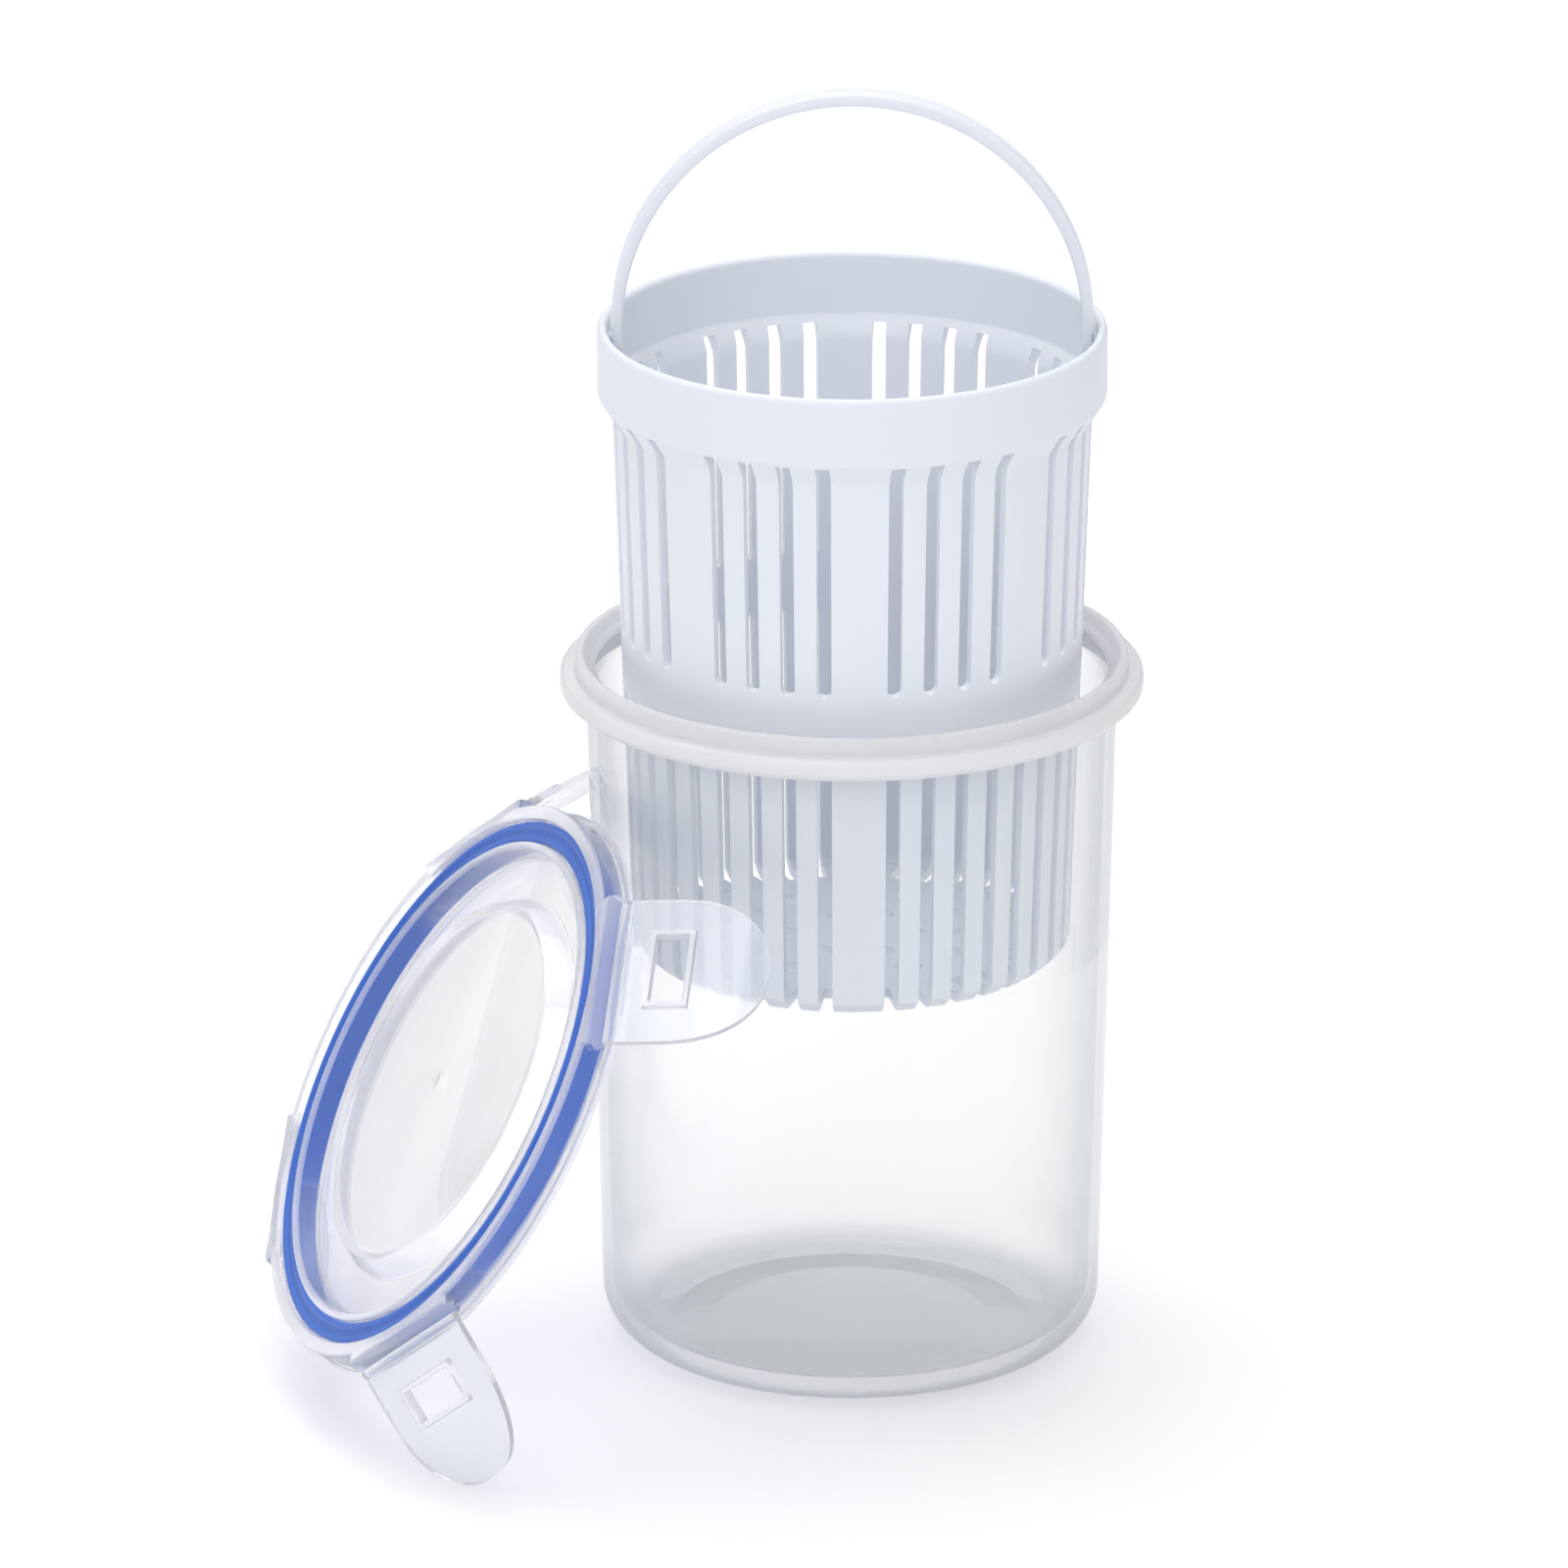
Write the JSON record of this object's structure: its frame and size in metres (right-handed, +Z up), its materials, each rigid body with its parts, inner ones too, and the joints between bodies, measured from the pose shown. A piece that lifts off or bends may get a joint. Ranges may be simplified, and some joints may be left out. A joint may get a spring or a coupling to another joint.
{
  "type": "strainer jar",
  "caption": "Clear storage jar with a frosted collar, a slotted lift-out basket with a swinging bail handle, and a round lid with a ring seal and hinged lock flaps, leaning beside it.",
  "frame": {"origin": "centre of the jar's base, on the surface that it stands on", "axes": "+Z up along the jar's axis; -Y towards the side where the lid's hinged front flap stands, with the lid leaning at -X"},
  "size_m": [0.1916, 0.169, 0.2819],
  "materials": {
    "jar_glass": "clear, polished",
    "collar_plastic": "frosted, translucent",
    "basket_plastic": "satin",
    "lid_plastic": "clear with a lavender tint, glossy",
    "seal_rubber": "smooth silicone"
  },
  "bodies": {
    "jar": {"jar": "jar_glass", "collar": "collar_plastic"},
    "basket": {"basket": "basket_plastic"},
    "handle": {"handle": "basket_plastic"},
    "lid": {"lid_cover": "lid_plastic", "lid_seal": "seal_rubber"},
    "flap_right": {"flap_right": "lid_plastic"},
    "flap_front": {"flap_front": "lid_plastic"},
    "flap_left": {"flap_left": "lid_plastic"},
    "flap_rear": {"flap_rear": "lid_plastic"}
  },
  "joints": [
    {"name": "basket_lift", "type": "slide", "parent": "jar", "child": "basket", "axis": [0, 0, 1], "range_m": [-0.0836, 0.075]},
    {"name": "handle_swing", "type": "hinge", "parent": "basket", "child": "handle", "pos_m": [0, 0, 0.2267], "axis": [1, 0, 0], "range_deg": [-60, 60]},
    {"name": "lid_lift", "type": "slide", "parent": "jar", "child": "lid", "axis": [-0.817, -0.2765, 0.506], "range_m": [0, 0.12]},
    {"name": "flap_right_fold", "type": "hinge", "parent": "lid", "child": "flap_right", "pos_m": [-0.05014, -0.07396, 0.10902], "axis": [0.1142, 0.7826, 0.612], "range_deg": [-133, 42]},
    {"name": "flap_front_fold", "type": "hinge", "parent": "lid", "child": "flap_front", "pos_m": [-0.09423, -0.08855, 0.02986], "axis": [0.5652, -0.5578, 0.6078], "range_deg": [-136, 39]},
    {"name": "flap_left_fold", "type": "hinge", "parent": "lid", "child": "flap_left", "pos_m": [-0.12351, -0.00156, 0.03014], "axis": [-0.1142, -0.7826, -0.612], "range_deg": [-134, 41]},
    {"name": "flap_rear_fold", "type": "hinge", "parent": "lid", "child": "flap_rear", "pos_m": [-0.07941, 0.01303, 0.1093], "axis": [-0.5652, 0.5578, -0.6078], "range_deg": [-133, 1]}
  ]
}
